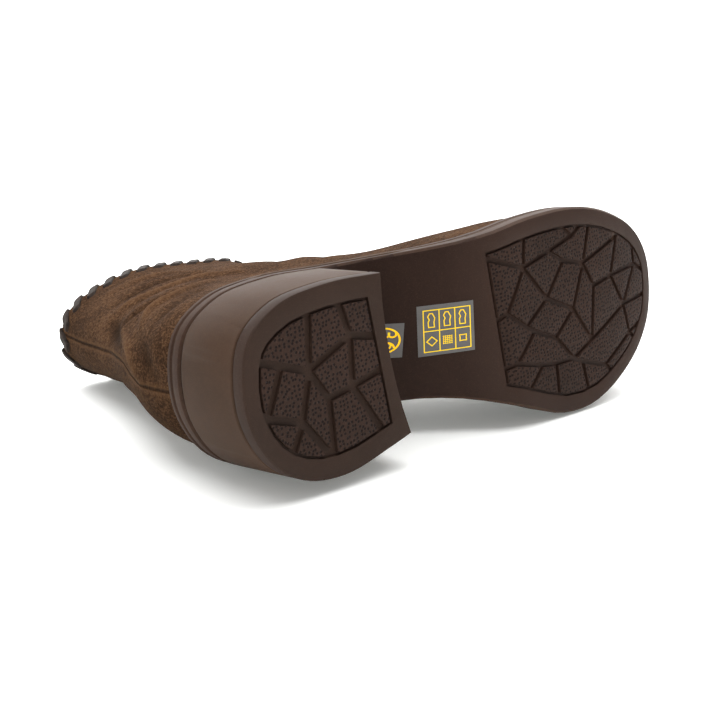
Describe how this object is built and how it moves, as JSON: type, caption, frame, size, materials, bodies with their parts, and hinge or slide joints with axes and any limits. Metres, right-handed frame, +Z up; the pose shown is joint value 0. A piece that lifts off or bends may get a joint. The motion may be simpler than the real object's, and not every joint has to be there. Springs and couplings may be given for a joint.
{
  "type": "ankle boot",
  "caption": "Right ankle boot with a slack suede shaft, whipstitched rim and moulded block-heel sole, lying on its inner side.",
  "frame": {"origin": "bottom centre of the box round the lying boot, on the floor", "axes": "+X from heel to toe along the floor, +Y from the sole up the shaft, +Z up; the outer side of the boot faces +Z"},
  "size_m": [0.2464, 0.1986, 0.0911],
  "materials": {
    "suede": "napped brown suede",
    "sole_rubber": "matt moulded dark brown",
    "heel_rubber": "satin moulded brown",
    "lace_leather": "smooth flat dark lace",
    "lining": "plain tan lining and insole board"
  },
  "bodies": {
    "root": {"upper": "suede", "sole_unit": "sole_rubber", "heel_block": "heel_rubber", "heel_top_piece": "sole_rubber", "insole": "lining", "collar_lace": "lace_leather"}
  },
  "joints": []
}
